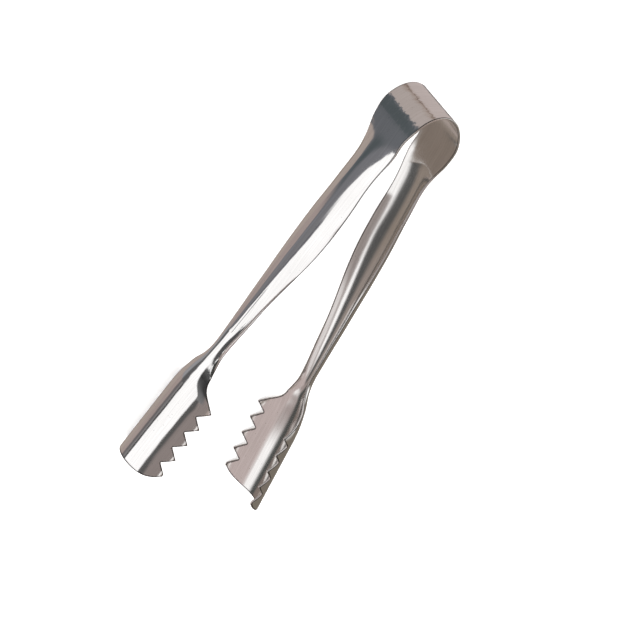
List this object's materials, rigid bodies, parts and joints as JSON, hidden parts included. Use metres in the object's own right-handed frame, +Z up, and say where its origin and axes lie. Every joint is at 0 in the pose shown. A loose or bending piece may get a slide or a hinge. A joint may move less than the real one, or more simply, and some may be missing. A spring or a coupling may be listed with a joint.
{
  "type": "ice tongs",
  "caption": "One-piece sprung steel ice tongs: a bent bow, two channelled arms and half-round scoop jaws with saw teeth along both edges.",
  "frame": {"origin": "centre of the bounding box in X and Y, on the plane that the tongs rest on when they lie on one side", "axes": "+Z up across the strip's width, +Y along the tongs from the jaws to the bow, +X the way the right jaw opens"},
  "size_m": [0.0662, 0.18, 0.0281],
  "materials": {
    "stainless_steel": "stainless sheet, bright polished outside and fine satin inside"
  },
  "bodies": {
    "bow": {"bow_spring": "stainless_steel"},
    "right_side": {"right_arm": "stainless_steel", "right_jaw": "stainless_steel"},
    "left_side": {"left_arm": "stainless_steel", "left_jaw": "stainless_steel"}
  },
  "joints": [
    {"name": "right_arm_flex", "type": "hinge", "parent": "bow", "child": "right_side", "pos_m": [0.0087, 0.0795, 0.01405], "axis": [0, 0, -1], "range_deg": [-2.5, 7.3], "stiffness_Nm_per_rad": 11, "deforming": ["bow_spring"]},
    {"name": "left_arm_flex", "type": "hinge", "parent": "bow", "child": "left_side", "pos_m": [-0.0087, 0.0795, 0.01405], "axis": [0, 0, 1], "range_deg": [-2.5, 7.3], "stiffness_Nm_per_rad": 11, "deforming": ["bow_spring"]}
  ],
  "couplings": [
    {"joint": "left_arm_flex", "follows": "right_arm_flex", "ratio": 1}
  ]
}
